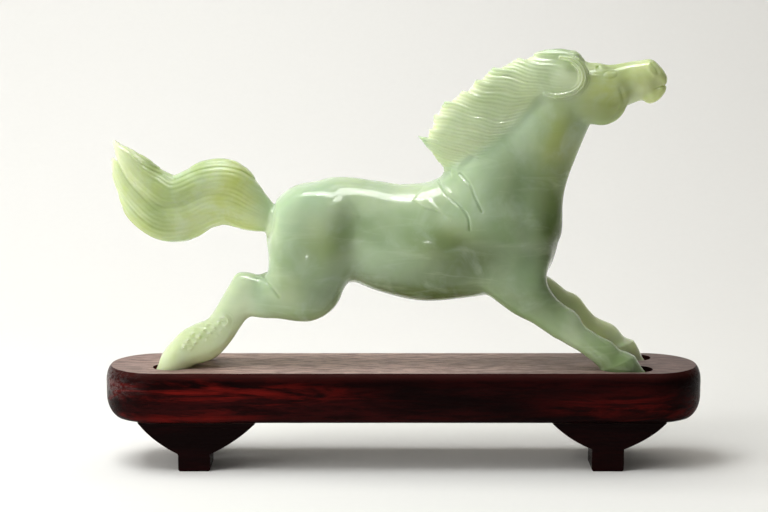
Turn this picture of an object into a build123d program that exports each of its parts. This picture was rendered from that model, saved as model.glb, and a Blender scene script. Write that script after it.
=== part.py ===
"""Jade figurine: a galloping horse carved from one stone, on an oblong hardwood stand.

Frame: millimetres, +Z up, +X towards the horse's head, +Y away from the near side.
The origin is the centre of the stand, on the table that the stand's feet rest on.

The stone stands loose in four pockets cut into the stand's top, and lifts straight out.
The stand is a thick top board with rounded ends, and four sawn bracket feet
that are pegged and glued under it.
"""

import os
from math import atan2, cos, sin

from build123d import *

# ---- Driving dimensions of the stand
STAND_LENGTH = 240.0
STAND_WIDTH = 43.0
STAND_HEIGHT = 40.0
BOARD_THICKNESS = 20.5
BELLY_INSET = 2.0  # how far the top edge stands in from the widest line of the board's side
BELLY_DROP = 5.5  # how far below the top that widest line is
UNDER_INSET = 5.0  # how far the round under the side reaches in
UNDER_RISE = 9.0  # how far up the side that round reaches
END_UNDER_ROUND = 11.0  # the larger round under the two ends

BOARD_BOTTOM = STAND_HEIGHT - BOARD_THICKNESS
END_RADIUS = STAND_WIDTH / 2
END_CENTRE = STAND_LENGTH / 2 - END_RADIUS

# ---- Bracket feet
# The feet are sawn and placed by eye, so the two ends of the stand differ a little.
FOOT_X = {"left": 83.4, "right": 81.1}  # from the centre to the middle of each front block
FOOT_BLOCK_WIDTH = 12.7
FOOT_DEPTH = 14.5
FOOT_FRONT_INSET = 3.0  # from the widest line of the side to the foot's outer face
BRACKET_OUTER = {"left": 22.5, "right": 23.3}  # reach towards the stand's end
BRACKET_INNER = {"left": 24.5, "right": 22.2}  # reach towards the stand's middle
BRACKET_BULGE = 0.7  # how far the sawn slope stands out from a straight line
BLOCK_HEIGHT = {"left": 7.0, "right": 9.0}  # the straight part of each foot
BACK_FEET_OUTWARD = 2.8  # the back pair is glued a little nearer the ends than the front pair
BLOCK_EDGE = 1.0  # the round along the two lower edges of each foot
BLOCK_FLARE = 1.5  # the hollow where a block runs out into its bracket

# ---- Pegs that hold the feet
PEG_RADIUS = 1.5
PEG_LENGTH = 12.0
PEG_SPACING = 16.0

# ---- Hooves and the pockets they stand in
POCKET_DEPTH = 2.5
POCKET_CLEARANCE = 0.5
FRONT_TOE_GAP = 1.6  # extra pocket length in front of the fore toes
HIND_TOE_GAP = 0.2
HOOF_WIDTH = 11.6
HOOF_HEIGHT = 7.0  # from the stand's top up to the coronet
CORONET_WIDTH = 10.0
FRONT_HOOF_LENGTH = 18.2
HIND_HOOF_LENGTH = 13.6
FRONT_HOOF_X = 88.0
FRONT_HOOF_Y = 11.0
FRONT_HOOF_LEAN = 5.5  # how far the coronet stands back from the middle of the sole
HIND_HOOF_X = -93.0
HIND_HOOF_Y = 6.9
HIND_HOOF_LEAN = 4.0
FAR_FORELEG_FORWARD = 2.2  # the far foreleg reaches a little further than the near one
FAR_HIND_FORWARD = 3.0  # the far hind hoof stands a little nearer the middle than the near one
FAR_HOCK_DROP = 2.5  # the far hock is carved a little lower than the near one

POCKET_FLOOR = STAND_HEIGHT - POCKET_DEPTH

NEAR, FAR = -1, 1


# ---- The stand
def board_section():
    """Half of the board's section, from its middle line out to its rounded side."""
    with BuildSketch(Plane.XZ) as section:
        with BuildLine():
            top = Line((0, STAND_HEIGHT), (END_RADIUS - BELLY_INSET, STAND_HEIGHT))
            shoulder = Bezier(
                top @ 1,
                (END_RADIUS - BELLY_INSET / 8, STAND_HEIGHT - BELLY_DROP / 3),
                (END_RADIUS, STAND_HEIGHT - BELLY_DROP),
            )
            side = Line(shoulder @ 1, (END_RADIUS, BOARD_BOTTOM + UNDER_RISE))
            under = Bezier(
                side @ 1,
                (END_RADIUS, BOARD_BOTTOM + UNDER_RISE / 4),
                (END_RADIUS - UNDER_INSET / 4, BOARD_BOTTOM),
                (END_RADIUS - UNDER_INSET, BOARD_BOTTOM),
            )
            Polyline(under @ 1, (0, BOARD_BOTTOM), (0, STAND_HEIGHT))
        make_face()
    return section.sketch


def board_blank():
    """The board before its pockets and peg holes: a straight run between two turned ends."""
    half = board_section()
    end = revolve(half, Axis.Z, 360)
    across = Rotation(0, 0, 90) * (half + mirror(half, Plane.YZ))
    run = extrude(Pos(-END_CENTRE, 0, 0) * across, amount=2 * END_CENTRE, dir=(1, 0, 0))
    board = run + Pos(END_CENTRE, 0, 0) * end + Pos(-END_CENTRE, 0, 0) * end
    profile = RectangleRounded(STAND_LENGTH, 2 * BOARD_THICKNESS, END_UNDER_ROUND)
    upright = Pos(0, 0, STAND_HEIGHT) * Rotation(90, 0, 0) * profile
    return board & extrude(upright, amount=STAND_WIDTH, both=True)


def hoof_places():
    """(x, y, length, toe direction, lean, toe gap) of the four hooves on the stand."""
    front = (FRONT_HOOF_LENGTH, 1, FRONT_HOOF_LEAN, FRONT_TOE_GAP)
    hind = (HIND_HOOF_LENGTH, -1, HIND_HOOF_LEAN, HIND_TOE_GAP)
    return [
        (FRONT_HOOF_X, NEAR * FRONT_HOOF_Y, *front),
        (FRONT_HOOF_X + FAR_FORELEG_FORWARD, FAR * FRONT_HOOF_Y, *front),
        (HIND_HOOF_X, NEAR * HIND_HOOF_Y, *hind),
        (HIND_HOOF_X + FAR_HIND_FORWARD, FAR * HIND_HOOF_Y, *hind),
    ]


def pocket(x, y, length, toe, _lean, toe_gap):
    """A round-ended pocket, a little longer than the hoof at its toe."""
    slot = SlotOverall(
        length + 2 * POCKET_CLEARANCE + toe_gap,
        HOOF_WIDTH + 2 * POCKET_CLEARANCE,
    )
    return extrude(Pos(x + toe * toe_gap / 2, y, POCKET_FLOOR) * slot, amount=2 * POCKET_DEPTH)


def foot_places():
    """(name, x, y direction, which end) of the four feet."""
    left, right = FOOT_X["left"], FOOT_X["right"]
    return [
        ("foot_front_left", -left, NEAR, "left"),
        ("foot_front_right", right, NEAR, "right"),
        ("foot_back_left", -left - BACK_FEET_OUTWARD, FAR, "left"),
        ("foot_back_right", right + BACK_FEET_OUTWARD, FAR, "right"),
    ]


def foot_middle_y(across):
    return across * (END_RADIUS - FOOT_FRONT_INSET - FOOT_DEPTH / 2)


def pegs():
    """Two pegs over each foot, half in the board and half in the foot."""
    return [
        Pos(x + step, foot_middle_y(across), BOARD_BOTTOM) * Cylinder(PEG_RADIUS, PEG_LENGTH)
        for _, x, across, _ in foot_places()
        for step in (-PEG_SPACING / 2, PEG_SPACING / 2)
    ]


def stand_top():
    board = board_blank()
    for place in hoof_places():
        board -= pocket(*place)
    for peg in pegs():
        board -= peg
    return board


def bracket_slope(block_height, reach):
    """The bulging edge of a bracket, from the top of the foot block out to the board."""
    out = 1 if reach > 0 else -1
    start_x = out * FOOT_BLOCK_WIDTH / 2
    middle_x = (start_x + reach) / 2 + out * BRACKET_BULGE
    middle_z = (block_height + BOARD_BOTTOM) / 2 - BRACKET_BULGE
    return (start_x, block_height), (middle_x, middle_z), (reach, BOARD_BOTTOM)


def bracket_outline(block_height, left_reach, right_reach):
    """A foot block under a bell-shaped bracket, seen from the front."""
    left = bracket_slope(block_height, left_reach)
    right = bracket_slope(block_height, right_reach)
    half = FOOT_BLOCK_WIDTH / 2
    with BuildSketch(Plane.XZ) as outline:
        with BuildLine():
            Polyline(right[0], (half, 0), (-half, 0), left[0])
            ThreePointArc(*left)
            Line(left[-1], right[-1])
            ThreePointArc(*right)
        make_face()
        bottom, block_top = outline.vertices().group_by(Axis.Y)[:2]
        fillet(bottom, BLOCK_EDGE)
        fillet(block_top, BLOCK_FLARE)
    return outline.sketch


def foot(x, across, end):
    """One bracket foot, trimmed to the board's plan so that it never stands proud of the side."""
    if end == "left":
        outline = bracket_outline(BLOCK_HEIGHT[end], -BRACKET_OUTER[end], BRACKET_INNER[end])
    else:
        outline = bracket_outline(BLOCK_HEIGHT[end], -BRACKET_INNER[end], BRACKET_OUTER[end])
    blank = extrude(Pos(x, foot_middle_y(across), 0) * outline, amount=FOOT_DEPTH / 2, both=True)
    plan = SlotOverall(STAND_LENGTH - 2 * FOOT_FRONT_INSET, STAND_WIDTH - 2 * FOOT_FRONT_INSET)
    trimmed = blank & extrude(plan, amount=BOARD_BOTTOM)
    for peg in pegs():
        trimmed -= peg
    return trimmed


# ---- The stone horse
def limb(stations, y=0.0):
    """A smooth loft through ellipses that stand square to the path.

    Each station is (x, height above the stand's top, half thickness, half width),
    and may end with its own shift along Y.
    """
    shifts = [station[4] if len(station) > 4 else 0.0 for station in stations]
    places = [
        (station[0], y + shift, STAND_HEIGHT + station[1])
        for station, shift in zip(stations, shifts)
    ]
    sections = []
    for i, place in enumerate(places):
        before = places[max(i - 1, 0)]
        after = places[min(i + 1, len(places) - 1)]
        heading = atan2(after[2] - before[2], after[0] - before[0])
        square = Plane(place, x_dir=(0, 1, 0), z_dir=(cos(heading), 0, sin(heading)))
        _, _, thickness, width = stations[i][:4]
        sections.append(square * Ellipse(width, thickness))
    return loft(sections)


def torso():
    """From the buttocks, over the deep barrel, to the breast."""
    return limb(
        [
            (-54.5, 53.5, 7.0, 6.0),
            (-50.5, 53.5, 14.0, 12.0),
            (-41.0, 53.0, 18.5, 16.0),
            (-24.0, 54.8, 20.3, 15.0),
            (-6.0, 51.5, 21.8, 16.5),
            (12.0, 50.0, 24.0, 18.0),
            (30.0, 51.0, 22.6, 18.0),
            (46.0, 53.0, 22.0, 16.5),
            (57.0, 54.0, 14.5, 12.0),
            (61.5, 54.0, 7.0, 6.0),
        ]
    )


def neck():
    return limb(
        [
            (38.0, 53.0, 22.0, 14.0),
            (42.0, 66.0, 21.5, 13.5),
            (47.0, 78.0, 19.5, 11.5),
            (54.0, 91.0, 17.5, 9.5),
            (60.5, 101.0, 14.5, 8.5),
            (66.0, 109.0, 12.0, 7.5),
        ]
    )


def head():
    """From the poll, over the round cheek, to the muzzle."""
    return limb(
        [
            (60.0, 110.0, 8.5, 6.5),
            (66.0, 109.8, 11.0, 8.0),
            (74.0, 108.4, 12.4, 8.4),
            (81.0, 109.5, 10.6, 7.4),
            (88.0, 112.6, 9.6, 5.6),
            (95.0, 114.2, 8.8, 5.8),
            (100.0, 113.6, 7.8, 5.8),
            (104.0, 113.0, 3.6, 3.4),
        ]
    )


def ear(side):
    """A leaf-shaped ear, laid back along the neck."""
    return limb(
        [
            (71.0, 118.5, 2.6, 1.4, side * 6.2),
            (68.0, 116.0, 5.0, 2.0, side * 7.2),
            (63.0, 112.5, 4.6, 2.0, side * 7.6),
            (57.5, 109.0, 1.6, 1.0, side * 7.4),
        ]
    )


def mane():
    """The mane along the crest, from its swept-back lower tip to the forelock."""
    return limb(
        [
            (13.6, 81.0, 10.4, 3.4),
            (18.5, 86.5, 11.6, 4.8),
            (26.0, 95.0, 12.0, 5.2),
            (36.0, 106.0, 12.0, 5.4),
            (46.0, 115.5, 9.5, 5.2),
            (56.0, 119.0, 7.0, 5.0),
            (66.0, 118.6, 5.5, 4.2),
            (71.0, 118.0, 2.5, 2.4),
        ]
    )


def tail():
    """The tail streams back in an S and turns up at its tip."""
    return limb(
        [
            (-48.0, 58.0, 6.0, 5.0),
            (-55.0, 60.5, 7.4, 5.6),
            (-61.5, 64.0, 10.0, 6.6),
            (-70.0, 68.6, 12.6, 7.6),
            (-78.0, 68.4, 12.8, 8.0),
            (-87.0, 64.3, 12.8, 8.0),
            (-96.0, 64.0, 13.6, 7.6),
            (-104.0, 70.0, 13.2, 6.6),
            (-110.0, 78.5, 9.0, 5.0),
            (-114.0, 87.6, 3.0, 2.4),
        ]
    )


def foreleg(side, forward):
    """From the shoulder to the pastern. forward carries the lower leg along X."""
    return limb(
        [
            (41.0, 52.0, 15.0, 5.5),
            (44.5, 37.0, 13.0, 7.0),
            (50.0, 28.0 + forward, 9.5, 7.0),
            (57.0, 22.5 + forward, 7.4, 6.2),
            (65.5, 17.0 + forward, 6.8, 5.8),
            (73.0 + forward, 11.0, 5.0, 4.8),
            (80.0 + forward, 6.8, 5.4, 5.4),
            (87.0 + forward, 2.0, 5.2, 5.6),
        ],
        side * FRONT_HOOF_Y,
    )


def thigh(side):
    """A heavy thigh, from the croup down to the stifle."""
    return limb(
        [
            (-38.0, 58.0, 9.0, 4.0),
            (-38.0, 50.0, 14.5, 7.5),
            (-38.0, 40.0, 16.4, 9.0),
            (-40.0, 30.0, 14.5, 8.6),
            (-42.5, 22.0, 9.5, 6.5),
            (-43.5, 18.6, 4.0, 3.0),
        ],
        side * 9.3,
    )


def shank(side, hock_drop, forward):
    """From inside the thigh, back over the hock and down to the fetlock."""
    return limb(
        [
            (-38.0, 31.0, 8.0, 5.0, side * 2.0),
            (-46.0, 29.4, 10.0, 7.2, side * 1.6),
            (-55.0, 28.4 - hock_drop, 9.2, 6.6, side * 0.8),
            (-63.0, 27.0 - hock_drop, 9.2, 5.9),
            (-69.0, 20.8 - hock_drop / 2, 7.0, 5.2),
            (-74.0 + forward / 2, 14.4 - hock_drop / 2, 6.3, 5.2),
            (-80.5 + forward, 9.6, 7.4, 5.6),
            (-88.0 + forward, 5.0, 7.0, 5.7),
        ],
        side * HIND_HOOF_Y,
    )


def hoof(x, y, length, toe, lean, _toe_gap):
    """A hoof from the pocket's floor up to its coronet."""
    outline = Ellipse(length / 2, HOOF_WIDTH / 2)
    plug = extrude(Pos(x, y, POCKET_FLOOR) * outline, amount=POCKET_DEPTH)
    rim = Pos(x, y, STAND_HEIGHT) * outline
    coronet = Ellipse(length / 3, CORONET_WIDTH / 2)
    wall = loft([rim, Pos(x - toe * lean, y, STAND_HEIGHT + HOOF_HEIGHT) * coronet])
    return plug + wall


def jade_horse():
    stone = torso() + neck() + head() + mane() + tail()
    for side in (NEAR, FAR):
        stone += thigh(side)
        far = side == FAR
        stone += shank(side, FAR_HOCK_DROP * far, FAR_HIND_FORWARD * far)
        stone += ear(side)
        stone += foreleg(side, FAR_FORELEG_FORWARD * far)
    below_top = Pos(0, 0, STAND_HEIGHT / 2) * Box(STAND_LENGTH, STAND_WIDTH, STAND_HEIGHT)
    stone -= below_top
    for place in hoof_places():
        stone += hoof(*place)
    return stone


def main():
    os.makedirs("parts", exist_ok=True)
    nodes = {
        "stand_top": stand_top(),
        "foot_pegs": Compound(pegs()),
        "jade_horse": jade_horse(),
    }
    for name, x, across, end in foot_places():
        nodes[name] = foot(x, across, end)
    for name, shape in nodes.items():
        export_step(shape, f"parts/{name}.step")


if __name__ == "__main__":
    main()
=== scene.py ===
"""Looks of the galloping jade horse on its hardwood stand.

The horse is carved as a distance field: swept bodies run together into one smooth form,
the mane, tail, ears, hooves and creases are cut into it, and the field is turned into a mesh.
The drawing's unit is the millimetre. Heights are above the stand's top, and the drawing is
scaled and placed so that it fills the box of the CAD horse.
"""

from math import cos, pi, radians, sin

import bpy
import numpy as np
import openvdb
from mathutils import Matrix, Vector


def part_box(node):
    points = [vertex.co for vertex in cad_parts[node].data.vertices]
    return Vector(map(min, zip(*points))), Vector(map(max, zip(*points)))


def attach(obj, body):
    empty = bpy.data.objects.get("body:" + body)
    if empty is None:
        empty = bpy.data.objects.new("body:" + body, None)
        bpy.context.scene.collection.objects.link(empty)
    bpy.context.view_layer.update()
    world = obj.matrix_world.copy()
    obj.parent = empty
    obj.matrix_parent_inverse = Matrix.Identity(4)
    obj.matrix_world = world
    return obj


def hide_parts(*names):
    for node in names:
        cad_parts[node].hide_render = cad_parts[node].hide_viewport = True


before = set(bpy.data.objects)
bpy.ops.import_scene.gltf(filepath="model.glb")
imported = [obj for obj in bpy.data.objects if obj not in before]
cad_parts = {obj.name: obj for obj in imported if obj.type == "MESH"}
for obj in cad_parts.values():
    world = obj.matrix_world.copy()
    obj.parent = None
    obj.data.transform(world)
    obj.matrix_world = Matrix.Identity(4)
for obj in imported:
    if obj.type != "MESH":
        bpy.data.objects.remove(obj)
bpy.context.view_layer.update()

HORSE_LOW, HORSE_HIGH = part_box("jade_horse")
_, STAND_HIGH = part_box("stand_top")
DRAWN_LENGTH = 222.6  # of the horse, from tail tip to nose, in drawing millimetres
MM = (HORSE_HIGH.x - HORSE_LOW.x) / DRAWN_LENGTH  # metres in one drawing millimetre
STAND_TOP = STAND_HIGH.z
MIDDLE = Vector((0.0, 0.0, 0.09))  # what the lamps are aimed at

NEAR, FAR = -1, 1  # the horse's sides, as signs along Y
# The corners of the block that the horse is carved from.
FIELD_LOW = np.array([-121.0, -23.0, -4.0])
FIELD_HIGH = np.array([109.0, 23.0, 131.0])
COARSE = 1.0  # spacing of the grid that the smooth body is blended on
FINE = 0.4  # spacing of the grid that the finished carving is meshed on
BAND = 3.2 * FINE  # how far from the surface the field is kept
OUTSIDE = 12.0  # the coarse field's value away from the body
CLOSE_TO_PART = 10.0  # a swept body is only worked out this close to it
THINNEST = 0.25


# ---- Distance fields
def spline(rows, step=1.2):
    """Rows of numbers resampled about step apart, along a smooth curve through them."""
    rows = np.array(rows, float)
    padded = np.vstack([2 * rows[0] - rows[1], rows, 2 * rows[-1] - rows[-2]])
    curve = []
    for i in range(1, len(padded) - 2):
        a, b, c, d = padded[i - 1 : i + 3]
        count = max(2, int(np.hypot(*(c - b)[:2]) / step))
        for t in np.linspace(0, 1, count, endpoint=False):
            curve.append(
                0.5 * (2 * b + (c - a) * t + (2 * a - 5 * b + 4 * c - d) * t**2
                       + (3 * b - a - 3 * c + d) * t**3)
            )
    curve.append(rows[-1])
    return np.array(curve)


class Sweep:
    """A body swept along a curve in the horse's upright plane.

    Each row is (x, height, half thickness, half width), and may end with its own shift
    along Y. fullness 2 gives an elliptical section, more a squarer one. thin_edge makes
    the body thinner towards the side that lies left of the curve, and root carries it
    further on the right-hand side, where it is buried in the body.
    """

    def __init__(self, rows, y=0.0, fullness=2.0, thin_edge=0.0, root=0.0):
        rows = [tuple(row) + (0.0,) * (5 - len(row)) for row in rows]
        self.rows = spline(rows)
        self.rows[:, 2:4] = np.maximum(self.rows[:, 2:4], THINNEST)
        self.y = y
        self.fullness = fullness
        self.thin_edge = thin_edge
        self.root = root
        reach = self.rows[:, 2:4].max() + root
        ends = self.rows[:, [0, 4, 1]] + [0, y, 0]
        self.low, self.high = ends.min(0) - reach, ends.max(0) + reach

    def near(self, p, margin):
        """Whether each point is within margin of the body's box."""
        return np.all((p > self.low - margin) & (p < self.high + margin), axis=1)

    def locate(self, p):
        """(place along the curve, signed offset from it) of each point, seen from the side."""
        x, z = p[:, 0], p[:, 2]
        best = np.full(len(p), 1e9)
        along = np.zeros(len(p))
        side = np.zeros(len(p))
        for i, (a, b) in enumerate(zip(self.rows[:-1, :2], self.rows[1:, :2])):
            d = b - a
            t = np.clip(((x - a[0]) * d[0] + (z - a[1]) * d[1]) / (d @ d), 0, 1)
            dx, dz = x - a[0] - t * d[0], z - a[1] - t * d[1]
            distance = dx * dx + dz * dz
            closer = distance < best
            best[closer] = distance[closer]
            along[closer] = i + t[closer]
            side[closer] = (d[0] * dz - d[1] * dx)[closer]
        return along, np.sqrt(best) * np.where(side < 0, -1, 1)

    def distance(self, p, where=None, edge=0.0):
        """Distance to the surface, negative inside. edge pushes the outline out, per point."""
        along, offset = self.locate(p) if where is None else where
        steps = np.arange(len(self.rows))
        thick = np.interp(along, steps, self.rows[:, 2]) + edge
        taper = self.thin_edge * np.clip(offset / thick, -1, 1)
        thick = thick + self.root * (offset < 0)
        wide = np.interp(along, steps, self.rows[:, 3])
        centre = np.interp(along, steps, self.rows[:, 4]) + self.y
        u = np.abs(offset) / thick
        wide = wide * (1 - taper)
        v = np.abs(p[:, 1] - centre) / wide
        n = self.fullness
        e = np.maximum((u**n + v**n) ** (1 / n), 1e-3)
        slope = np.hypot(u ** (n - 1) / thick, v ** (n - 1) / wide) / e ** (n - 1)
        inner = -np.minimum(thick, wide)
        return np.maximum((e - 1) / np.maximum(slope, 1e-4), inner)


def blend(a, b, k):
    """Union of two fields with a fillet of about k."""
    h = np.maximum(k - np.abs(a - b), 0) / k
    return np.minimum(a, b) - h * h * k / 4


def ramp(value, start, end):
    """0 up to start, 1 from end on, and a soft step between them."""
    t = np.clip((value - start) / (end - start), 0, 1)
    return t * t * (3 - 2 * t)


def groove(p, points, width):
    """1 along a line drawn on the flanks, 0 away from it."""
    _, offset = Sweep([(x, z, 1, 1) for x, z in points]).locate(p)
    return np.exp(-((offset / width) ** 2))


def plate(p, rows, edge):
    """1 inside a flat shape drawn on the flanks, 0 outside, with a ramp of width edge."""
    shape = Sweep([(x, z, r, 1) for x, z, r in rows])
    along, offset = shape.locate(p)
    r = np.interp(along, np.arange(len(shape.rows)), shape.rows[:, 2])
    return 1 - ramp(np.abs(offset) - r, -edge / 2, edge / 2)


def blob(p, x, z, across, up):
    """A soft spot on the flanks, 1 in its middle."""
    return np.exp(-(((p[:, 0] - x) / across) ** 2) - ((p[:, 2] - z) / up) ** 2)


# ---- The smooth body
HIND_SPREAD = 6.9  # of each hind leg from the middle plane
FORE_SPREAD = 11.0
FAR_HOCK_DROP = 2.5  # the far hock is this much lower than the near one


def torso():
    return Sweep(
        [
            (-36.0, 54.3, 19.2, 15.2),
            (-31.0, 54.5, 20.1, 15.6),
            (-25.0, 55.0, 20.7, 15.2),
            (-15.0, 53.8, 20.8, 14.6),
            (-4.0, 51.0, 22.2, 16.0),
            (8.0, 49.6, 23.7, 17.6),
            (20.0, 50.0, 23.3, 18.0),
            (32.0, 51.0, 22.2, 17.2),
            (43.0, 53.0, 19.0, 15.5),
            (49.0, 54.0, 12.5, 11.0),
        ],
        fullness=2.15,
    )


def chest():
    return Sweep(
        [
            (34.0, 60.0, 20.0, 14.5),
            (42.0, 52.0, 19.6, 15.5),
            (45.0, 44.0, 14.0, 14.5),
        ]
    )


def neck():
    return Sweep(
        [
            (30.0, 60.0, 19.0, 13.5),
            (36.0, 66.0, 23.0, 13.5),
            (43.5, 76.0, 22.0, 12.0),
            (51.0, 87.0, 18.0, 10.3),
            (58.0, 97.0, 15.0, 9.0),
            (64.0, 105.0, 12.5, 8.0),
            (68.0, 110.0, 10.0, 7.0),
        ]
    )


def cheek(side):
    return Sweep([(75.4, 107.6, 10.6, 3.2), (77.6, 106.8, 10.4, 3.2)], y=side * 5.0)


def muzzle():
    return Sweep(
        [
            (68.0, 111.5, 9.0, 6.4),
            (76.0, 110.6, 9.8, 7.0),
            (83.0, 111.6, 8.8, 6.0),
            (89.0, 113.2, 8.2, 5.2),
            (92.0, 114.2, 7.8, 5.3),
            (93.4, 114.6, 7.4, 5.3),
        ],
        fullness=2.3,
    )


def lips():
    """The slanting end of the nose, from the nostrils down to the chin."""
    upper = Sweep([(96.8, 119.6, 3.0, 4.8), (99.6, 116.7, 3.1, 4.7), (101.5, 114.7, 2.6, 3.8)])
    lower = Sweep([(101.4, 110.9, 2.4, 3.6), (99.2, 108.6, 2.8, 4.0), (97.2, 107.3, 2.6, 3.8)])
    return [upper, lower]


def thigh(side):
    return Sweep(
        [
            (-36.5, 58.0, 12.0, 5.0),
            (-36.9, 50.0, 14.2, 8.0),
            (-37.6, 43.0, 15.2, 9.3),
            (-38.4, 37.5, 15.5, 9.4),
            (-39.0, 34.6, 15.2, 9.0),
        ],
        y=side * 8.6,
        fullness=2.2,
    )


def gaskin(side, drop):
    """From the stifle to the hock. drop lowers the hock."""
    return Sweep(
        [
            (-41.0, 30.2, 9.8, 7.4, side * 1.6),
            (-50.0, 28.5, 8.4, 6.6, side * 1.2),
            (-57.0, 28.2 - drop / 2, 8.0, 5.6, side * 0.6),
            (-62.0, 29.4 - drop, 7.4, 4.9),
        ],
        y=side * HIND_SPREAD,
        fullness=2.3,
    )


def hind_cannon(side, drop):
    """From the hock over the fetlock into the hoof. The far one is slimmer and further back."""
    back, slim = (0.9, 0.3) if side == FAR else (0.0, 0.0)
    rows = [
        (-62.6, 31.6, 6.2, 4.7),
        (-66.2, 26.0, 6.6, 4.7),
        (-70.0, 20.2, 6.2, 4.4),
        (-73.8, 14.8, 6.5, 4.4),
        (-79.0, 10.8, 7.9, 5.0),
        (-84.6, 8.2, 7.5, 5.3),
        (-88.8, 5.6, 6.3, 5.3),
        (-91.4, 3.2, 5.3, 5.2),
    ]
    rows = [(x - back, z - drop, thick - slim, wide) for x, z, thick, wide in rows]
    return Sweep(rows, y=side * HIND_SPREAD, fullness=2.4)


def hock(side, drop):
    """The point of the hock."""
    return Sweep([(-61.0, 33.5 - drop, 3.4, 3.2), (-65.0, 36.0 - drop, 2.2, 2.4)], y=side * HIND_SPREAD)


def foreleg(side):
    """From the shoulder over the knee and fetlock to the coronet.

    The far one reaches further forward.
    """
    lower = {
        NEAR: [
            (54.6, 24.7, 7.1, 6.2),
            (59.4, 20.9, 6.5, 5.3),
            (64.3, 17.6, 6.6, 5.2),
            (67.3, 14.6, 5.3, 4.5),
            (72.0, 11.4, 4.8, 4.2),
            (76.2, 8.6, 5.0, 4.4),
            (79.8, 6.4, 5.4, 4.8),
            (83.2, 4.0, 4.6, 4.7),
            (86.6, 2.6, 4.6, 4.8),
        ],
        FAR: [
            (58.0, 25.9, 7.0, 6.2),
            (63.2, 22.2, 6.5, 5.3),
            (67.4, 20.2, 6.7, 5.2),
            (71.0, 17.2, 5.5, 4.5),
            (75.4, 13.4, 4.8, 4.2),
            (79.4, 11.0, 5.0, 4.4),
            (83.4, 8.8, 5.4, 4.8),
            (86.6, 5.7, 4.7, 4.7),
            (89.8, 2.8, 4.9, 4.8),
        ],
    }
    shoulder = [
        (42.0, 48.0, 15.0, 5.0, side * -1.2),
        (44.2, 38.0, 13.4, 6.6, side * -0.6),
        (48.6, 30.4, 9.8, 6.8),
    ]
    return Sweep(shoulder + lower[side], y=side * FORE_SPREAD, fullness=2.4)


def body_parts():
    """(body, fillet to what came before it) of everything that runs together smoothly."""
    parts = [(torso(), 1.0), (chest(), 8.0), (neck(), 9.0), (muzzle(), 5.0)]
    parts += [(lip, 1.6) for lip in lips()]
    for side in (NEAR, FAR):
        drop = FAR_HOCK_DROP if side == FAR else 0.0
        parts += [
            (cheek(side), 2.5),
            (thigh(side), 7.0),
            (gaskin(side, drop), 4.5),
            (hock(side, drop), 3.0),
            (hind_cannon(side, drop), 2.5),
            (foreleg(side), 5.0),
        ]
    return parts


def lattice(low, high, step):
    """The points of a regular grid, as an array with one axis for each of X, Y and Z."""
    axes = [np.arange(a, b + step, step) for a, b in zip(low, high)]
    return np.stack(np.meshgrid(*axes, indexing="ij"), axis=-1)


def soften(grid, rounds):
    """Binomial smoothing along each axis in turn."""
    for _ in range(rounds):
        for axis in range(3):
            padded = np.pad(grid, [(1, 1) if i == axis else (0, 0) for i in range(3)], "edge")
            grid = sum(
                weight * np.take(padded, range(i, i + grid.shape[axis]), axis)
                for i, weight in enumerate((0.25, 0.5, 0.25))
            )
    return grid


def body_grid():
    """The smooth body on the coarse grid."""
    points = lattice(FIELD_LOW, FIELD_HIGH, COARSE)
    p = points.reshape(-1, 3)
    field = np.full(len(p), OUTSIDE)
    for part, fillet in body_parts():
        close = part.near(p, CLOSE_TO_PART)
        field[close] = blend(field[close], part.distance(p[close]), fillet)
    return soften(field.reshape(points.shape[:3]), 1).astype(np.float32)


def sample(grid, p):
    """The coarse grid read at any points, as a cubic B-spline, which has no facets."""
    q = (p - FIELD_LOW) / COARSE
    cell = np.floor(q).astype(int)
    t = q - cell
    weights = [(1 - t) ** 3, 3 * t**3 - 6 * t**2 + 4, -3 * t**3 + 3 * t**2 + 3 * t + 1, t**3]
    weights = np.stack(weights) / 6
    total = np.zeros(len(p))
    for i in range(4):
        ix = np.clip(cell[:, 0] + i - 1, 0, grid.shape[0] - 1)
        for j in range(4):
            iy = np.clip(cell[:, 1] + j - 1, 0, grid.shape[1] - 1)
            wij = weights[i, :, 0] * weights[j, :, 1]
            for k in range(4):
                iz = np.clip(cell[:, 2] + k - 1, 0, grid.shape[2] - 1)
                total += wij * weights[k, :, 2] * grid[ix, iy, iz]
    return total


# ---- What is carved into it
def ridges(s):
    """Rounded ridges one unit apart with sharp valleys between: 0 on a ridge, 1 in a valley."""
    return 1 - np.abs(np.cos(pi * s)) ** 0.8


MANE = Sweep(
    [
        (18.4, 80.0, 2.6, 4.6),
        (18.0, 84.0, 6.0, 5.0),
        (18.4, 87.6, 9.4, 5.4),
        (20.2, 90.8, 11.4, 5.8),
        (23.4, 94.6, 12.0, 6.0),
        (28.4, 99.2, 11.6, 6.0),
        (34.6, 104.6, 11.0, 6.0),
        (41.2, 110.4, 9.6, 5.8),
        (48.0, 115.2, 8.0, 5.6),
        (55.0, 117.4, 7.6, 5.6),
        (62.0, 118.0, 7.4, 5.6),
        (67.0, 117.6, 5.2, 5.0),
    ],
    fullness=2.6,
    thin_edge=0.45,
    root=5.0,
)
MANE_TIP = Sweep(
    [(24.0, 84.0, 5.4, 4.6), (17.6, 85.6, 4.2, 3.8), (11.6, 88.4, 2.4, 2.6), (6.0, 91.8, 0.4, 0.9)]
)
FORELOCK = Sweep([(66.0, 121.6, 4.4, 4.0), (59.6, 123.0, 3.6, 3.4), (51.8, 124.4, 0.5, 0.9)])
STRAND = 1.55  # spacing of the mane's strands
STRANDS_IN_LOCK = 3.7


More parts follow.
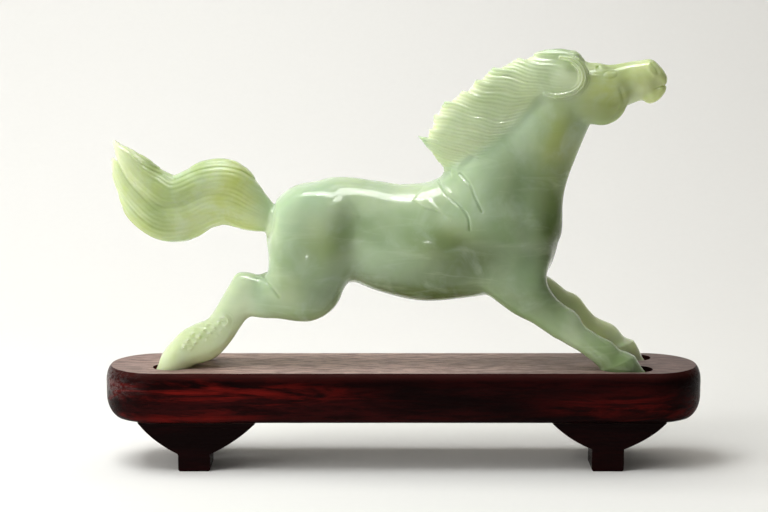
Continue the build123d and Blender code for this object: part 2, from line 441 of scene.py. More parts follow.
def mane_strands(p, from_root):
    """Strand number at each point. Strands sag from the crest and flick up at their tips."""
    x, z = p[:, 0], p[:, 2]
    low_lock = np.clip((95.0 - z) / 12.0, 0, 1)
    s = z + 0.2 * x - 0.035 * np.maximum(8.0 - from_root, 0) ** 2
    s += 0.42 * low_lock * np.minimum(x - 26.0, 0)
    s += 0.45 * np.sin(0.21 * x + 0.13 * z) + 0.25 * np.sin(0.47 * x - 0.3 * z + 1.0)
    return s / STRAND


def mane(p, d):
    """The body's field d with the mane added to it, and its strands cut into both."""
    along, offset = MANE.locate(p)
    thick = np.interp(along, np.arange(len(MANE.rows)), MANE.rows[:, 2])
    from_root = thick + offset
    s = mane_strands(p, from_root)
    lock = s / STRANDS_IN_LOCK
    tooth = lock - np.floor(lock)
    ragged = ramp(offset / thick, 0.1, 0.95)
    ragged *= ramp(p[:, 2], 82.0, 88.0)
    edge = ragged * (1.7 * tooth - 0.9 + 0.5 * np.sin(lock * 2.1))
    hair = MANE.distance(p, (along, offset), edge)
    for tuft in (MANE_TIP, FORELOCK):
        hair = blend(hair, tuft.distance(p), 1.2)
    combed = ramp(from_root, -2.5, 3.0) * ramp(-hair, -3.0, -0.6)
    d = blend(d, hair, 3.2)
    combed *= 1 - 0.45 * ramp(p[:, 0], 38.0, 54.0)
    combed *= 1 - 0.85 * blob(p, 63.5, 116.0, 6.5, 7.0)
    return d + combed * (0.30 * ridges(s) + 0.28 * ridges(lock) ** 3)


TAIL_LOCKS = [
    Sweep(
        [
            (-49.0, 57.6, 4.6, 5.2),
            (-55.6, 60.6, 5.8, 6.0),
            (-61.8, 66.0, 7.4, 7.0),
            (-69.0, 72.6, 9.4, 7.8),
            (-76.5, 73.8, 9.0, 8.0),
            (-84.0, 70.6, 8.6, 8.0),
            (-91.5, 68.6, 8.0, 7.6),
            (-99.0, 71.6, 7.6, 6.8),
            (-105.6, 78.2, 6.4, 5.4),
            (-111.0, 84.4, 3.8, 3.8),
            (-114.8, 89.6, 0.8, 1.6),
        ],
        fullness=2.2,
    ),
    Sweep(
        [
            (-52.0, 58.6, 4.6, 5.4),
            (-60.0, 61.2, 6.8, 7.0),
            (-70.0, 65.0, 8.0, 8.0),
            (-78.0, 65.0, 8.4, 8.4),
            (-86.0, 61.6, 8.4, 8.2),
            (-94.0, 60.2, 8.0, 7.6),
            (-101.5, 63.4, 7.0, 6.6),
            (-108.0, 69.6, 5.4, 5.2),
            (-113.0, 76.6, 3.2, 3.4),
            (-115.6, 82.6, 0.8, 1.4),
        ],
        fullness=2.2,
    ),
    Sweep(
        [
            (-53.0, 58.0, 4.4, 4.8),
            (-62.0, 59.6, 5.4, 6.4),
            (-71.0, 62.0, 5.6, 7.2),
            (-79.0, 60.8, 6.0, 7.6),
            (-87.0, 56.6, 6.6, 7.4),
            (-95.0, 56.2, 6.4, 7.0),
            (-102.0, 59.0, 5.6, 6.0),
            (-108.0, 63.4, 4.2, 4.6),
            (-113.2, 69.4, 0.9, 1.8),
        ],
        fullness=2.2,
    ),
]
TAIL_SPINE = Sweep(
    [
        (-46.0, 57.0, 6.0, 1.0),
        (-54.0, 60.6, 7.6, 1.0),
        (-62.0, 64.8, 10.6, 1.0),
        (-70.0, 68.6, 13.0, 1.0),
        (-78.0, 68.6, 13.2, 1.0),
        (-87.0, 64.2, 13.4, 1.0),
        (-95.0, 63.6, 13.4, 1.0),
        (-102.6, 68.0, 12.4, 1.0),
        (-108.6, 74.6, 10.0, 1.0),
        (-114.0, 84.0, 6.0, 1.0),
    ]
)
TAIL_STRANDS = 15
TAIL_REGION = ([-120, -14, 44], [-42, 14, 96])


def tail(p):
    """The tail's field: three locks run together, with strands cut along them."""
    d = None
    for lock in TAIL_LOCKS:
        shape = lock.distance(p)
        d = shape if d is None else blend(d, shape, 0.7)
    along, offset = TAIL_SPINE.locate(p)
    thick = np.interp(along, np.arange(len(TAIL_SPINE.rows)), TAIL_SPINE.rows[:, 2])
    s = offset / thick * TAIL_STRANDS / 2
    s += 0.25 * np.sin(along * 0.16) + 0.12 * np.sin(along * 0.41)
    fade = ramp(along, 4.0, 14.0)
    return d + fade * (0.30 * ridges(s) + 0.26 * ridges(s / 3.6 + 0.3) ** 4)


EAR_REGION = ([50, -14, 100], [80, 14, 130])
EAR_LINES = 1.15  # spacing of the fine lines around the rim


def ear(p, side):
    """An ear laid back along the poll: a hollow leaf with a finely lined, rolled rim."""
    rim = Sweep(
        [
            (61.0, 123.4, 0.8, 1.2),
            (65.8, 122.4, 1.5, 1.9),
            (69.0, 119.6, 1.8, 2.2),
            (70.1, 116.2, 1.9, 2.3),
            (69.3, 112.8, 1.9, 2.3),
            (66.6, 110.2, 1.8, 2.2),
            (62.6, 108.8, 1.6, 2.0),
            (58.8, 108.4, 1.1, 1.6),
            (55.2, 109.4, 0.3, 0.7),
        ],
        y=side * 6.6,
        fullness=2.4,
    )
    where = rim.locate(p)
    lines = 0.30 * np.cos(2 * pi * where[1] / EAR_LINES)
    return rim.distance(p, where) + lines


SOLE = -2.3  # height of the soles, in the pockets
HOOF_WIDE = 5.3  # half width at the sole
HOOF_FILLET = 4.6


def hoof(p, x, y, toe, sole, lean, crown):
    """A hoof with a flat sole, its coronet sloping down from the toe to the heel.

    x and y are its middle at the sole, sole its half length there, lean how far its middle
    moves per millimetre of height, and crown the height of the coronet over the toe. toe is
    1 for a hoof that points to +X and -1 for one that points to -X.
    """
    height = p[:, 2] - SOLE
    along = p[:, 0] - x - lean * height
    half = sole - 0.34 * height
    wide = HOOF_WIDE - 0.12 * height
    wall = (np.hypot(along / half, (p[:, 1] - y) / wide) - 1) * 5.0
    coronet = p[:, 2] - crown + 0.3 * (half - toe * along)
    return np.maximum(np.maximum(wall, SOLE - p[:, 2]), 0.9 * coronet)


HOOVES = [  # x, y, toe, sole, lean, crown
    (88.3, NEAR * FORE_SPREAD, 1, 9.0, -0.52, 4.0),
    (90.8, FAR * FORE_SPREAD, 1, 9.0, -0.36, 5.8),
    (-93.6, NEAR * HIND_SPREAD, -1, 6.5, 0.34, 6.0),
    (-90.2, FAR * HIND_SPREAD, -1, 6.6, 0.26, 7.0),
]


def features(p, d):
    """The smooth body's field d with creases and folds of the trunk and the face cut into it."""
    side_on = ramp(np.abs(p[:, 1]), 1.5, 4.0)
    blade = groove(p, [(12.9, 75.5), (17.4, 69.4), (22.7, 65.0), (25.0, 61.4), (25.6, 57.0)], 0.42)
    shoulder = groove(p, [(22.0, 78.0), (25.6, 74.0), (27.8, 69.0), (30.4, 64.0)], 0.42)
    d = d + side_on * (0.55 * blade + 0.5 * shoulder)
    leaf = [(4.0, 67.9, 0.4), (8.0, 68.4, 3.4), (13.0, 68.8, 4.6), (19.0, 66.0, 4.0)]
    leaf = plate(p, leaf, 1.0) * (1 - ramp(p[:, 0], 13.0, 21.0))
    vein = groove(p, [(9.3, 68.2), (14.1, 63.8), (17.7, 60.8)], 0.6)
    d = d - side_on * (0.55 * leaf + 0.25 * vein)
    d = d + 1.1 * blob(p, -21.0, 53.0, 5.5, 17.0) * side_on
    hip = [(-28.4, 66.4, 0.4), (-25.0, 66.4, 2.2), (-21.8, 64.6, 1.8), (-18.6, 61.8, 0.3)]
    d = d - 0.35 * plate(p, hip, 2.6) * side_on
    buttock = groove(p, [(-55.5, 36.4), (-51.6, 33.2), (-49.2, 30.2)], 0.6)
    d = d + 0.5 * buttock * side_on
    dock = groove(p, [(-53.0, 67.8), (-51.6, 63.0), (-52.0, 57.0), (-53.6, 52.0)], 1.0)
    d = d + 0.8 * dock
    return face(p, d)


def face(p, d):
    """The field d with mouth, nostrils, eyes, brows and jaw."""
    x, z, depth = p[:, 0], p[:, 2], np.abs(p[:, 1])
    mouth = groove(p, [(105.0, 112.7), (101.6, 111.9), (97.6, 111.0), (95.4, 111.0)], 0.36)
    d = d + 0.5 * mouth * ramp(x, 97.0, 102.0)
    nostril = groove(p, [(97.2, 120.6), (98.8, 119.0), (99.6, 117.4)], 0.6)
    wing = groove(p, [(95.4, 120.2), (96.4, 118.2), (98.0, 116.4)], 0.6)
    d = d + ramp(depth, 1.0, 3.0) * (0.45 * nostril - 0.2 * wing)
    on_face = ramp(depth, 2.0, 4.5)
    lid = np.hypot((x - 80.6) / 1.8, (z - 116.6 - 0.12 * (x - 80.6)) / 0.9)
    d = d - on_face * 0.2 * np.exp(-(lid**2) / 2.4)
    d = d + on_face * 0.14 * np.exp(-(((lid - 1.7) / 0.4) ** 2))
    brow = blob(p, 76.6, 120.4, 2.8, 1.5)
    pit = blob(p, 75.9, 119.4, 0.7, 0.7)
    d = d - 0.6 * brow + 0.6 * pit * ramp(depth, 1.5, 3.0)
    jaw = groove(p, [(84.6, 111.0), (85.8, 107.0), (85.0, 103.0), (81.0, 98.6)], 0.9)
    return d + 0.25 * jaw * ramp(depth, 2.5, 5.0)


def feathers(p):
    """Tufts of carved hair over the hind fetlocks."""
    band = Sweep([(-71.5, 19.5, 1, 1), (-79.0, 15.4, 1, 1), (-87.6, 9.6, 1, 1)])
    along, offset = band.locate(p)
    tufts = ridges(0.36 * along + 0.22 * offset) * ridges(0.3 * offset - 0.17 * along)
    strands = 0.35 * ridges(0.8 * along + 0.9 * offset)
    return (1.6 * tufts + strands) * np.exp(-((offset / 3.0) ** 2)) * (p[:, 0] < -60.0)


def inside(p, region):
    """Whether each point is in the box between the region's two corners."""
    low, high = region
    return np.all((p > low) & (p < high), axis=1)


def around_hoof(x, y):
    """The region that the hoof and its fillet stay in."""
    middle, reach = np.array([x, y, 4.0]), np.array([14.0, 8.0, 10.0])
    return middle - reach, middle + reach


def carving(grid, p):
    """The finished horse's field at points p."""
    d = features(p, sample(grid, p)) - feathers(p)

    def add(close, shape, fillet):
        if close.any():
            d[close] = blend(d[close], shape(p[close]), fillet)

    for x, y, *form in HOOVES:
        add(inside(p, around_hoof(x, y)), lambda q: hoof(q, x, y, *form), HOOF_FILLET)
    close = MANE.near(p, 3.0)
    if close.any():
        d[close] = mane(p[close], d[close])
    for side in (NEAR, FAR):
        on_side = inside(p, EAR_REGION) & (side * p[:, 1] > 0)
        add(on_side, lambda q: ear(q, side), 0.9)
    add(inside(p, TAIL_REGION), tail, 1.2)
    return d


# ---- From field to mesh
BLOCK = 8  # fine grid steps along the side of a block
BLOCKS_AT_ONCE = 600
CORNER = 0.87  # from a block's middle to its corner, in block sides
DEEPEST_CUT = 0.7


def in_chunks(function, p, size=400_000):
    """function(p), worked out for a few points at a time to spare memory."""
    return np.concatenate([function(p[i : i + size]) for i in range(0, len(p), size)])


def mesh_field(field):
    """Vertices and quads of the surface, from a grid that is only worked out close to it."""
    block_side = FINE * BLOCK
    centres = lattice(FIELD_LOW + block_side / 2, FIELD_HIGH, block_side)
    rough = in_chunks(field, centres.reshape(-1, 3)).reshape(centres.shape[:3])
    reach = block_side * CORNER + BAND + DEEPEST_CUT
    values = np.where(rough < 0, -BAND, BAND).astype(np.float32)
    for axis in range(3):
        values = values.repeat(BLOCK, axis)
    inner = lattice(np.zeros(3), np.full(3, FINE * (BLOCK - 1.5)), FINE).reshape(-1, 3)
    steps = np.rint(inner / FINE).astype(int)
    active = np.argwhere(np.abs(rough) < reach)
    for i in range(0, len(active), BLOCKS_AT_ONCE):
        blocks = active[i : i + BLOCKS_AT_ONCE, None]
        p = FIELD_LOW + blocks * block_side + inner[None]
        index = (blocks * BLOCK + steps[None]).reshape(-1, 3)
        values[tuple(index.T)] = np.clip(field(p.reshape(-1, 3)), -BAND, BAND)
    grid = openvdb.FloatGrid(BAND)
    grid.copyFromArray(values)
    points, quads = grid.convertToQuads(0.0)
    return FIELD_LOW + points * FINE, quads


def pull_to_surface(field, points, rounds=2):
    """Moves vertices along the field's slope until they lie on the surface."""
    h = 0.12  # the step that the slope is measured over
    for _ in range(rounds):
        value = in_chunks(field, points)
        slope = np.stack(
            [(in_chunks(field, points + h * axis) - value) / h for axis in np.eye(3)], axis=1
        )
        length = np.maximum(np.linalg.norm(slope, axis=1, keepdims=True), 0.3)
        move = -value[:, None] * slope / length**2
        points = points + np.clip(move, -FINE / 2, FINE / 2)
    return points


# Where the stone is drawn dark yellow-green: (amount, x, height, reach along x, reach upwards). The
# rows at the hip are the stone's own colour; the rows on the breast and under the belly are painted
# shade.
OLIVE_AND_SHADE_DRIFTS = [
    (0.30, -31.0, 51.0, 10.0, 9.0),
    (0.25, -23.0, 60.0, 4.5, 9.0),
    (0.25, -43.0, 48.0, 6.0, 10.0),
    (0.35, 16.0, 54.0, 9.0, 5.0),
    (0.30, -42.0, 21.0, 15.0, 6.0),
    # painted shade on the breast, which faces away from the lamps
    (1.05, 61.0, 52.0, 9.0, 20.0),
    # painted shade under the belly
    (1.00, 8.0, 27.5, 36.0, 13.0),
    (0.75, 24.0, 46.0, 18.0, 9.0),
    (0.30, 40.0, 60.0, 12.0, 20.0),
    (0.38, 65.0, 78.0, 7.0, 20.0),
    (0.45, 78.0, 102.0, 12.0, 8.0),
    (0.30, 42.0, 79.0, 11.0, 11.0),
    (0.28, 50.0, 25.0, 12.0, 9.0),
    (0.25, -37.0, 33.0, 12.0, 8.0),
]
NEAR_HOOF_OLIVE = (0.75, 84.0, 2.0, 14.0, 9.0)
WARM_DRIFTS = [
    (1.00, 61.0, 82.0, 8.0, 24.0),
    (0.35, -30.0, 51.0, 9.0, 9.0),
    (0.35, 16.0, 52.0, 13.0, 8.0),
]
# Where the stone is drawn paler: (amount, x, height, reach along x, reach upwards). The row on the top
# of the back is a painted highlight.
PALE_AND_HIGHLIGHT_DRIFTS = [
    (0.20, -45.0, 31.0, 6.0, 7.0),
    # painted highlight on the top of the back
    (0.30, 4.0, 71.0, 14.0, 5.0),
    (0.40, 64.0, 116.0, 9.0, 9.0),
    (0.30, 98.0, 116.0, 12.0, 12.0),
]


def drifts(p, rows):
    """The soft spots of a table of drifts at points p, one array for each row."""
    return [amount * blob(p, *spot) for amount, *spot in rows]


def stone_tones_and_painted_light(p):
    """Where the stone runs yellower, darker green or paler, as drifts of its colour, with painted shade
    on the breast and under the belly and painted light on the top of the back, the mane's outer edge
    and the tail's end.
    """
    x, z = p[:, 0], p[:, 2]
    far_foreleg = ramp(p[:, 1], 3.0, 7.0) * ramp(x, 48.0, 56.0) * (1 - ramp(z, 34.0, 42.0))
    into_mane = -MANE.distance(p)
    mane_hair = ramp(into_mane, -1.5, 2.5)
    # painted light: the mane's outer upper edge, which faces the lamps, is drawn lighter cream
    mane_edge_painted_light = ramp(MANE.locate(p)[1], 2.0, 12.0) * ramp(into_mane, -1.5, 1.0)
    tail_hair = ramp(-x, 50.0, 62.0) * ramp(z, 46.0, 54.0)
    # painted light: the tail's upper left end, which faces the lamps, is drawn lighter cream
    tail_end_painted_light = ramp(-x, 98.0, 117.0) * ramp(z, 66.0, 90.0)
    head = ramp(x, 58.0, 80.0) * ramp(z, 92.0, 104.0)
    legs = (1 - ramp(z, 8.0, 30.0)) * (1 - 0.6 * ramp(x, 40.0, 60.0))
    hind_shanks = ramp(-x, 56.0, 64.0) * (1 - ramp(z, 34.0, 44.0))
    warm = [0.8 * tail_hair, 0.8 * mane_hair, 0.95 * head, 0.5 * legs, far_foreleg]
    warm += drifts(p, WARM_DRIFTS)
    pale = [mane_edge_painted_light, 0.6 * mane_hair, 0.9 * tail_end_painted_light, 0.35 * hind_shanks, 0.5 * far_foreleg]
    pale += drifts(p, PALE_AND_HIGHLIGHT_DRIFTS)
    near_hoof = drifts(p, [NEAR_HOOF_OLIVE])[0] * ramp(-p[:, 1], -3.0, 3.0)
    # this darkening holds painted shade on the breast and under the belly, along with the stone's own
    # dark green
    olive = (sum(drifts(p, OLIVE_AND_SHADE_DRIFTS)) + near_hoof) * (1 - far_foreleg)
    return {
        "warm": np.maximum.reduce(warm),
        "olive": np.clip(olive, 0, 1),
        "pale": np.maximum.reduce(pale),
    }


def add_mesh(name, points, faces):
    """A smooth-shaded object from arrays of vertices and quads."""
    mesh = bpy.data.meshes.new(name)
    mesh.vertices.add(len(points))
    mesh.vertices.foreach_set("co", points.astype(np.float32).ravel())
    mesh.loops.add(faces.size)
    mesh.loops.foreach_set("vertex_index", faces.astype(np.int32).ravel())
    mesh.polygons.add(len(faces))
    mesh.polygons.foreach_set("loop_start", np.arange(0, faces.size, 4, dtype=np.int32))
    mesh.polygons.foreach_set("use_smooth", np.ones(len(faces), bool))
    mesh.update(calc_edges=True)
    mesh.validate()
    made = bpy.data.objects.new(name, mesh)
    bpy.context.scene.collection.objects.link(made)
    return made


def carved_horse():
    """The horse as a mesh in the frame, taking the place of the CAD horse."""
    grid = body_grid()

    def field(p):
        return carving(grid, p)

    points, quads = mesh_field(field)
    points = pull_to_surface(field, points)
    placed = points * MM + [0, 0, STAND_TOP]
    horse = add_mesh("carved_horse", placed, quads[:, ::-1])
    for name, values in stone_tones_and_painted_light(points).items():
        tone = horse.data.attributes.new(name, "FLOAT", "POINT")
        tone.data.foreach_set("value", values.astype(np.float32))
    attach(horse, "horse")
    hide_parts("jade_horse")
    return horse


# ---- Materials
class Graph:
    """A material's node tree, with short ways to add nodes to it."""

    def __init__(self, name):
        self.material = bpy.data.materials.new(name)
        self.material.use_nodes = True
        self.tree = self.material.node_tree
        self.tree.nodes.clear()
        self.place = self.node("ShaderNodeTexCoord").outputs["Object"]

    def node(self, kind, inputs=None, **settings):
        """A new node with its inputs given as values or as other nodes' outputs."""
        made = self.tree.nodes.new(kind)
        for key, value in settings.items():
            setattr(made, key, value)
        for key, value in (inputs or {}).items():
            self.give(made.inputs[key], value)
        return made

    def give(self, socket, value):
        if isinstance(value, bpy.types.NodeSocket):
            self.tree.links.new(value, socket)
        elif isinstance(value, tuple) and socket.type == "RGBA":
            socket.default_value = (*value, 1.0)[:4]
        else:
            socket.default_value = value

    def math(self, operation, a, b=0.0, clamp=False):
        made = self.node("ShaderNodeMath", {0: a, 1: b}, operation=operation, use_clamp=clamp)
        return made.outputs[0]

    def noise(self, scale, detail=3.0, roughness=0.5, distortion=0.0, stretch=None):
        """Soft noise. A larger stretch squeezes its pattern along that axis."""
        place = self.place if stretch is None else self.scaled(stretch)
        inputs = {
            "Vector": place, "Scale": scale, "Detail": detail,
            "Roughness": roughness, "Distortion": distortion,
        }
        return self.node("ShaderNodeTexNoise", inputs).outputs[0]

    def scaled(self, scale):
        return self.node("ShaderNodeMapping", {"Vector": self.place, "Scale": scale}).outputs[0]

    def ramp(self, value, start, end, low=0.0, high=1.0):
        inputs = {"Value": value, "From Min": start, "From Max": end, "To Min": low, "To Max": high}
        return self.node("ShaderNodeMapRange", inputs, interpolation_type="SMOOTHSTEP").outputs[0]

    def patch(self, centre, reach):
        """1 at a place on the object, falling softly to 0 at the given reach along each axis."""
        kind = "ShaderNodeVectorMath"
        centred = self.node(kind, {0: self.place, 1: centre}, operation="SUBTRACT")
        scaled = self.node(kind, {0: centred.outputs[0], 1: reach}, operation="DIVIDE")
        length = self.node(kind, {0: scaled.outputs[0]}, operation="LENGTH")
        return self.ramp(length.outputs["Value"], 1.0, 0.0)

    def mix(self, factor, a, b, how="MIX"):
        made = self.node("ShaderNodeMix", data_type="RGBA", blend_type=how)
        self.give(made.inputs[0], factor)
        self.give(made.inputs[6], a)
        self.give(made.inputs[7], b)
        return made.outputs[2]

    def bump(self, height, strength, distance):
        inputs = {"Height": height, "Strength": strength, "Distance": distance}
        return self.node("ShaderNodeBump", inputs).outputs[0]

    def attribute(self, name):
        return self.node("ShaderNodeAttribute", attribute_name=name).outputs["Fac"]

    def principled(self, **inputs):
        """A Principled shader. Its inputs are named in lower case, with underscores."""
        named = {key.replace("_", " ").title(): value for key, value in inputs.items()}
        named = {key.replace("Ior", "IOR"): value for key, value in named.items()}
        return self.node("ShaderNodeBsdfPrincipled", named).outputs[0]

    def finish(self, shader):
        self.node("ShaderNodeOutputMaterial", {"Surface": shader})
        return self.material


COOL_PALE, COOL_DEEP = (0.53, 0.635, 0.41), (0.40, 0.54, 0.37)
WARM_DEEP, WARM_PALE = (0.58, 0.65, 0.20), (0.72, 0.80, 0.40)
# this dark green also paints shade on the breast and under the belly
OLIVE = (0.080, 0.125, 0.014)
DEPTH_GREEN = (0.22, 0.32, 0.13)
THREAD_GREEN = (0.66, 0.76, 0.52)
WISP_GREEN = (0.60, 0.71, 0.55)
# this cream also paints light on the top of the back, the mane's outer edge and the tail's end
PALE_EDGE = (0.84, 0.88, 0.62)


def jade():
    """Polished, clouded, translucent stone."""
    g = Graph("jade_stone")
    clouds = g.noise(26.0, 4.0, 0.55, 0.6)
    wisps = g.noise(75.0, 4.0, 0.55, 0.5)
    depths = g.noise(28.0, 3.0, 0.5, 0.4)
    threads = g.noise(70.0, 5.0, 0.65, 0.8, stretch=(0.4, 1.0, 3.0))
    cool_green = g.mix(g.ramp(clouds, 0.35, 0.7), COOL_PALE, COOL_DEEP)
    warm_green = g.mix(g.ramp(wisps, 0.3, 0.7), WARM_DEEP, WARM_PALE)
    drift = g.math("MULTIPLY", g.math("SUBTRACT", clouds, 0.5), 0.9)
    warmth = g.math("ADD", drift, g.attribute("warm"), clamp=True)
    colour = g.mix(warmth, cool_green, warm_green)
    cloudiness = g.ramp(wisps, 0.2, 0.75, 0.8, 1.1)
    # painted shade: the breast and the belly's underside are darkened here, along with the stone's own
    # dark green
    olive_cloud_and_shade = g.math("MULTIPLY", g.attribute("olive"), cloudiness, clamp=True)
    colour = g.mix(olive_cloud_and_shade, colour, OLIVE)
    colour = g.mix(g.ramp(depths, 0.36, 0.58, 0.52, 0.0), colour, DEPTH_GREEN)
    colour = g.mix(g.ramp(threads, 0.52, 0.70, 0.0, 0.16), colour, THREAD_GREEN)
    colour = g.mix(g.ramp(wisps, 0.48, 0.74, 0.0, 0.32), colour, WISP_GREEN)
    # the light cream mixed in here holds a painted highlight on the back and painted light on the
    # mane's edge and the tail's end, with the stone's own paler drifts
    colour = g.mix(g.attribute("pale"), colour, PALE_EDGE)
    stone = g.principled(
        base_color=colour,
        roughness=g.ramp(g.noise(60.0, 3.0), 0.3, 0.7, 0.06, 0.13),
        ior=1.53,
        subsurface_weight=0.8,
        subsurface_radius=(1.0, 1.1, 0.7),
        subsurface_scale=0.005,
        normal=g.bump(g.noise(160.0, 2.0), 0.12, 0.0004),
    )
    return g.finish(stone)


FLAME_RED = (0.16, 0.008, 0.006)
PORE_BLACK = (0.003, 0.001, 0.001)
WORN_RIM = (0.05, 0.012, 0.010)


def wood_figure(g, dark, red, streaks, fibres, pores):
    """Colour of the wood's polished faces: bands, fibres, flame-like streaks and pores."""
    bands = g.noise(9.0, 4.0, 0.6, 0.8, stretch=(1.0, 6.0, 9.0))
    flames = g.noise(22.0, 5.0, 0.65, 0.8, stretch=(1.0, 3.0, 8.0))
    colour = g.mix(g.ramp(bands, 0.38, 0.66), dark, red)
    colour = g.mix(g.ramp(fibres, 0.42, 0.6, 0.0, 0.75), colour, dark)
    for x, height, strength in streaks:
        patch = g.patch((x, 0.0, height), (0.055, 1.0, 0.011))
        amount = g.math("MULTIPLY", patch, strength)
        flame = g.math("MULTIPLY", g.ramp(flames, 0.42, 0.66), amount)
        colour = g.mix(flame, colour, FLAME_RED)
    return g.mix(g.ramp(pores, 0.60, 0.72, 0.0, 0.6), colour, PORE_BLACK)


def dust_and_painted_light_top(g, speckle):
    """Colour of the matt, dusty upper faces, made palest under the horse as painted light that lifts
    the horse's shadow off the board.
    """
    # painted light: the top under the horse is drawn far lighter, standing in for light where the
    # horse's shadow falls
    under_horse_painted_light = g.patch((-0.02, 0.0, 0.04), (0.15, 0.1, 0.1))
    pale_dust_with_painted_light = g.mix(under_horse_painted_light, (0.165, 0.10, 0.085), (0.67, 0.46, 0.39))
    dark_dust_with_painted_light = g.mix(under_horse_painted_light, (0.075, 0.040, 0.032), (0.29, 0.185, 0.155))
    return g.mix(g.ramp(speckle, 0.40, 0.60), pale_dust_with_painted_light, dark_dust_with_painted_light)


def rosewood(name, dark, red, streaks=()):
    """Oiled dark hardwood with its grain along X, worn matt and dusty on its upper faces, with painted
    light on the top under the horse.

    Each of the streaks is (x, height, strength) of a redder patch.
    """
    g = Graph(name)
    fibres = g.noise(70.0, 8.0, 0.72, 0.3, stretch=(1.0, 7.0, 10.0))
    pores = g.noise(150.0, 3.0, 0.7, 0.0, stretch=(1.0, 12.0, 12.0))
    speckle = g.noise(260.0, 5.0, 0.72, 0.2, stretch=(0.45, 3.0, 3.0))
    normal = g.node("ShaderNodeNewGeometry").outputs["Normal"]
    up = g.node("ShaderNodeSeparateXYZ", {"Vector": normal}).outputs["Z"]
    worn = g.ramp(up, 0.6, 0.95)
    colour = wood_figure(g, dark, red, streaks, fibres, pores)
    colour = g.mix(g.ramp(up, 0.2, 0.6, 0.0, 0.6), colour, WORN_RIM)
    # the dusty top colour carries painted light under the horse
    colour = g.mix(worn, colour, dust_and_painted_light_top(g, speckle))
    oiled = g.ramp(fibres, 0.3, 0.7, 0.22, 0.34)
    rubbed_end = g.patch((-0.116, -0.012, 0.036), (0.024, 0.02, 0.009))
    rubbed = g.math("MULTIPLY", rubbed_end, g.ramp(speckle, 0.4, 0.6, 0.0, 0.6))
    relief = g.math("SUBTRACT", g.ramp(fibres, 0.3, 0.7), g.ramp(pores, 0.58, 0.7))
    wood = g.principled(
        base_color=colour,
        roughness=g.math("ADD", oiled, g.math("MULTIPLY", worn, 0.28)),
        specular_ior_level=g.math("ADD", g.ramp(up, 0.6, 0.95, 0.02, 0.5), rubbed),
        normal=g.bump(relief, 0.25, 0.0003),
    )
    return g.finish(wood)


def paper():
    """Pale paper, clear from behind, so that the object shows from every side."""
    g = Graph("pale_paper")
    colour = g.mix(g.noise(300.0, 2.0), (0.86, 0.84, 0.80), (0.88, 0.86, 0.82))
    front = g.principled(base_color=colour, roughness=0.85)
    behind = g.node("ShaderNodeNewGeometry").outputs["Backfacing"]
    clear = g.node("ShaderNodeBsdfTransparent").outputs[0]
    return g.finish(g.node("ShaderNodeMixShader", {0: behind, 1: front, 2: clear}).outputs[0])


# ---- Studio
def cyclorama():
    """A pale floor that curves up into a wall."""
    front, back, half, top = -0.5, 0.75, 3.0, 2.6
    radius = 0.5
    section = [(front, 0.0), (back - radius, 0.0)]
    section += [
        (back - radius + radius * sin(a), radius - radius * cos(a))
        for a in np.linspace(0.0, pi / 2, 24)[1:]
    ]
    section.append((back, top))
    verts = [(x, y, z) for y, z in section for x in (-half, half)]
    faces = [(2 * i, 2 * i + 1, 2 * i + 3, 2 * i + 2) for i in range(len(section) - 1)]
    mesh = bpy.data.meshes.new("cyclorama")
    mesh.from_pydata(verts, [], faces)
    mesh.polygons.foreach_set("use_smooth", [True] * len(faces))
    backdrop = bpy.data.objects.new("cyclorama", mesh)
    bpy.context.scene.collection.objects.link(backdrop)
    mesh.materials.append(paper())


def area_light(name, place, size, power, colour=(1.0, 1.0, 1.0), lights=True, mirrored=True):
    """A soft rectangular lamp aimed at the horse.

    One that doesn't light things is only seen mirrored in them, and the other way round.
    Places and sizes are in metres, power in watts.
    """
    data = bpy.data.lights.new(name, "AREA")
    data.shape = "RECTANGLE"
    data.size, data.size_y = size
    data.energy = power
    data.color = colour
    light = bpy.data.objects.new(name, data)
    light.location = place
    light.rotation_euler = (MIDDLE - Vector(place)).to_track_quat("-Z", "Y").to_euler()
    light.visible_glossy = mirrored
    light.visible_diffuse = lights
    bpy.context.scene.collection.objects.link(light)
    return light


def room():
    """Dim surroundings, lighter towards the upper left, and plain and pale to the camera."""
    world = bpy.data.worlds.new("room")
    bpy.context.scene.world = world
    world.use_nodes = True
    tree = world.node_tree
    place = tree.nodes.new("ShaderNodeTexCoord")
    towards = tree.nodes.new("ShaderNodeVectorMath")
    towards.operation = "DOT_PRODUCT"
    towards.inputs[1].default_value = Vector((-0.7, 0.25, 0.66)).normalized()
    tree.links.new(place.outputs["Generated"], towards.inputs[0])
    dim = tree.nodes.new("ShaderNodeMapRange")
    for key, value in {"From Min": -0.5, "From Max": 1.0, "To Min": 0.02, "To Max": 0.4}.items():
        dim.inputs[key].default_value = value
    tree.links.new(towards.outputs["Value"], dim.inputs["Value"])
    to_camera = tree.nodes.new("ShaderNodeLightPath").outputs["Is Camera Ray"]
    strength = tree.nodes.new("ShaderNodeMath")
    strength.operation = "MAXIMUM"
    tree.links.new(to_camera, strength.inputs[0])
    tree.links.new(dim.outputs[0], strength.inputs[1])
    background = tree.nodes["Background"]
    background.inputs["Color"].default_value = (0.92, 0.905, 0.88, 1.0)
    tree.links.new(strength.outputs[0], background.inputs["Strength"])


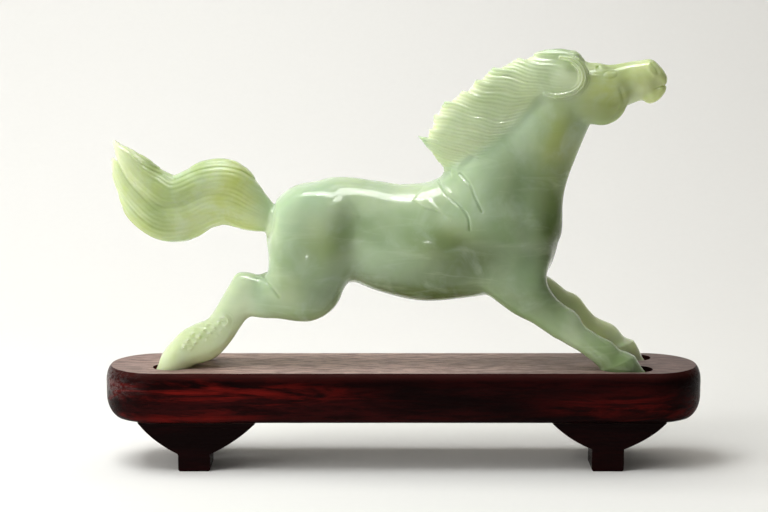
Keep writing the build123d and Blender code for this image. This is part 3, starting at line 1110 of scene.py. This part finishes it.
def lighting():
    area_light("window", (-0.05, -0.10, 0.80), (0.58, 0.30), 4.6, lights=False)
    area_light("lamp", (-0.03, -0.16, 0.80), (0.14, 0.05), 0.9, lights=False)
    area_light("sky", (-0.32, -0.06, 0.85), (0.6, 0.5), 6.1, (0.94, 0.98, 1.0), mirrored=False)
    area_light("left", (-0.85, -0.40, 0.40), (0.6, 0.5), 4.8, mirrored=False)
    area_light("glint", (-0.11, -0.9, 0.06), (0.03, 0.012), 0.07, lights=False)
    # This one lights the wall rather than the horse.
    wash = area_light("wall_wash", (0.25, 0.30, 1.5), (2.4, 0.3), 4.2, (1.0, 0.98, 0.95))
    wash.rotation_euler = (radians(22), 0, 0)


CAMERA_PLACE = (-0.0079, -0.7276, 0.1987)
CAMERA_DOWN = radians(8.97)  # its tilt below level


def camera():
    """A camera at the photo's angle."""
    data = bpy.data.cameras.new("camera")
    data.lens = 86.18
    data.sensor_width = 36.0
    data.clip_start = 0.01
    made = bpy.data.objects.new("camera", data)
    made.location = CAMERA_PLACE
    made.rotation_euler = (pi / 2 - CAMERA_DOWN, 0, 0)
    bpy.context.scene.collection.objects.link(made)
    bpy.context.scene.camera = made
    bpy.context.scene.view_settings.view_transform = "Standard"


BLACK_WOOD = (0.005, 0.0018, 0.0018)
BOARD_RED = (0.030, 0.004, 0.004)
FOOT_RED = (0.014, 0.003, 0.003)
BOARD_STREAKS = [
    (-0.083, 0.032, 1.3),
    (-0.045, 0.031, 0.6),
    (-0.090, 0.023, 0.7),
    (0.092, 0.026, 0.5),
]
PEG_PALE = (0.42, 0.27, 0.14)
PEG_DARK = (0.30, 0.18, 0.09)
FEET = ("foot_front_left", "foot_front_right", "foot_back_left", "foot_back_right")


def dress_stand():
    """Gives the CAD pieces of the stand their wood."""
    looks = {
        "stand_top": rosewood("rosewood_board", BLACK_WOOD, BOARD_RED, BOARD_STREAKS),
        "foot_pegs": rosewood("peg_wood", PEG_DARK, PEG_PALE),
    }
    for name in FEET:
        looks[name] = rosewood("rosewood_" + name, (0.005, 0.002, 0.002), FOOT_RED)
    for name, look in looks.items():
        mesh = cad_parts[name].data
        mesh.materials.clear()
        mesh.materials.append(look)


horse = carved_horse()
horse.data.materials.append(jade())
dress_stand()
cyclorama()
room()
lighting()
camera()
